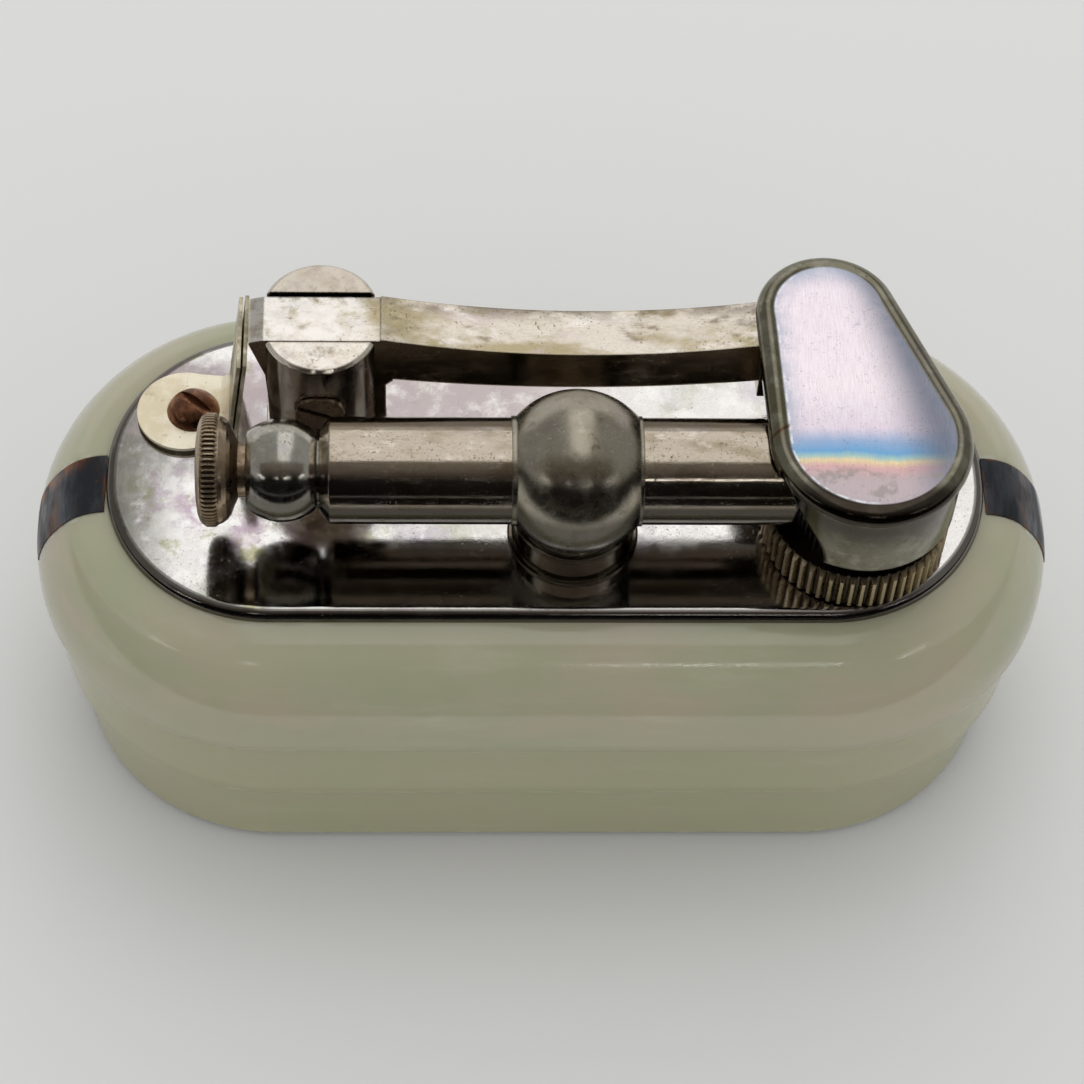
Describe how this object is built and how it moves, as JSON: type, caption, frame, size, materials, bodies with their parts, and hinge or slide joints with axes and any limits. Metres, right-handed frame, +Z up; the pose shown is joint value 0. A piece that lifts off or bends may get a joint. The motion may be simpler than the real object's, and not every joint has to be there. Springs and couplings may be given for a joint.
{
  "type": "table lighter",
  "caption": "Table lighter: stone block with a silvered deck, lift arm with snuffer cap, flint tube, upright wheels and wick.",
  "frame": {"origin": "middle of the face that the block stands on", "axes": "+X along the block from the flint screw to the snuffer cap, +Y to the arm's side, +Z up"},
  "size_m": [0.088, 0.0426, 0.0467],
  "materials": {
    "onyx": "polished",
    "baize": "napped",
    "strap_steel": "tarnished, rust spots",
    "silver_deck": "clouded silver plate",
    "silver_arm": "pitted silver plate",
    "silver_cap": "iridescent silver plate",
    "silver_tube": "worn silver plate",
    "spring_steel": "dull",
    "copper_screw": "tarnished",
    "bronze": "dark, worn",
    "file_steel": "hardened, cut",
    "brass": "turned",
    "tank_sheet": "soldered sheet",
    "cotton": "loose wadding",
    "wick_braid": "braided",
    "gasket_rubber": "matt",
    "flint_metal": "dull"
  },
  "bodies": {
    "base": {"stone_body": "onyx", "base_felt": "baize", "band_left": "strap_steel", "band_right": "strap_steel", "top_plate": "silver_deck", "fuel_tank": "tank_sheet", "tank_lid": "tank_sheet", "cotton_wadding": "cotton", "ring_nut": "brass", "pivot_post": "silver_arm", "post_nut": "brass", "pivot_screw": "copper_screw", "spring_leaf_outer": "spring_steel", "spring_leaf_inner": "spring_steel", "leaf_screw": "copper_screw", "leaf_nut": "brass", "pedestal": "silver_tube", "pedestal_nut": "brass", "tube_ball": "silver_tube", "flint_tube": "silver_tube", "end_ball": "silver_tube", "flint_spring": "spring_steel", "wheel_axle": "file_steel", "axle_nut": "brass", "wheel_washer": "brass", "wheel_screw": "file_steel", "wick_tube": "brass", "wick": "wick_braid"},
    "arm": {"lift_arm": "silver_arm", "snuffer_cap": "silver_cap", "snuffer_liner": "brass"},
    "wheels": {"thumb_wheel": "bronze", "striking_wheel": "file_steel"},
    "flint_seat": {"spring_seat": "brass"},
    "flint_knob": {"flint_screw": "bronze"},
    "flint_carrier": {"flint_follower": "brass", "flint": "flint_metal"},
    "filler_seal": {"filler_gasket": "gasket_rubber"},
    "filler": {"filler_screw": "brass"}
  },
  "joints": [
    {"name": "arm_lift", "type": "hinge", "parent": "base", "child": "arm", "pos_m": [-0.0191, 0.0061, 0.0388], "axis": [0, -1, 0], "range_deg": [0, 95], "deforming": ["spring_leaf_outer", "spring_leaf_inner"]},
    {"name": "wheel_spin", "type": "hinge", "parent": "base", "child": "wheels", "pos_m": [0.02559, -0.00633, 0.035], "axis": [0, 0, 1], "continuous": true},
    {"name": "flint_screw_slide", "type": "slide", "parent": "base", "child": "flint_seat", "axis": [-1, 0, 0], "range_m": [0, 0.0028], "deforming": ["flint_spring"]},
    {"name": "flint_screw_turn", "type": "hinge", "parent": "flint_seat", "child": "flint_knob", "pos_m": [-0.02, -0.00633, 0.03995], "axis": [-1, 0, 0], "range_deg": [0, 1440]},
    {"name": "flint_feed", "type": "slide", "parent": "base", "child": "flint_carrier", "axis": [-1, 0, 0], "range_m": [0, 0.003], "stiffness_N_per_m": 150, "springref_m": -0.004, "deforming": ["flint_spring"]},
    {"name": "filler_slide", "type": "slide", "parent": "base", "child": "filler_seal", "axis": [0, 0, -1], "range_m": [0, 0.0028]},
    {"name": "filler_turn", "type": "hinge", "parent": "filler_seal", "child": "filler", "pos_m": [0.0035, 0, 0.003], "axis": [0, 0, -1], "range_deg": [0, 1440]}
  ],
  "couplings": [
    {"joint": "flint_screw_turn", "follows": "flint_screw_slide", "rad_per_m": 8975.9},
    {"joint": "filler_turn", "follows": "filler_slide", "rad_per_m": 8975.9}
  ]
}
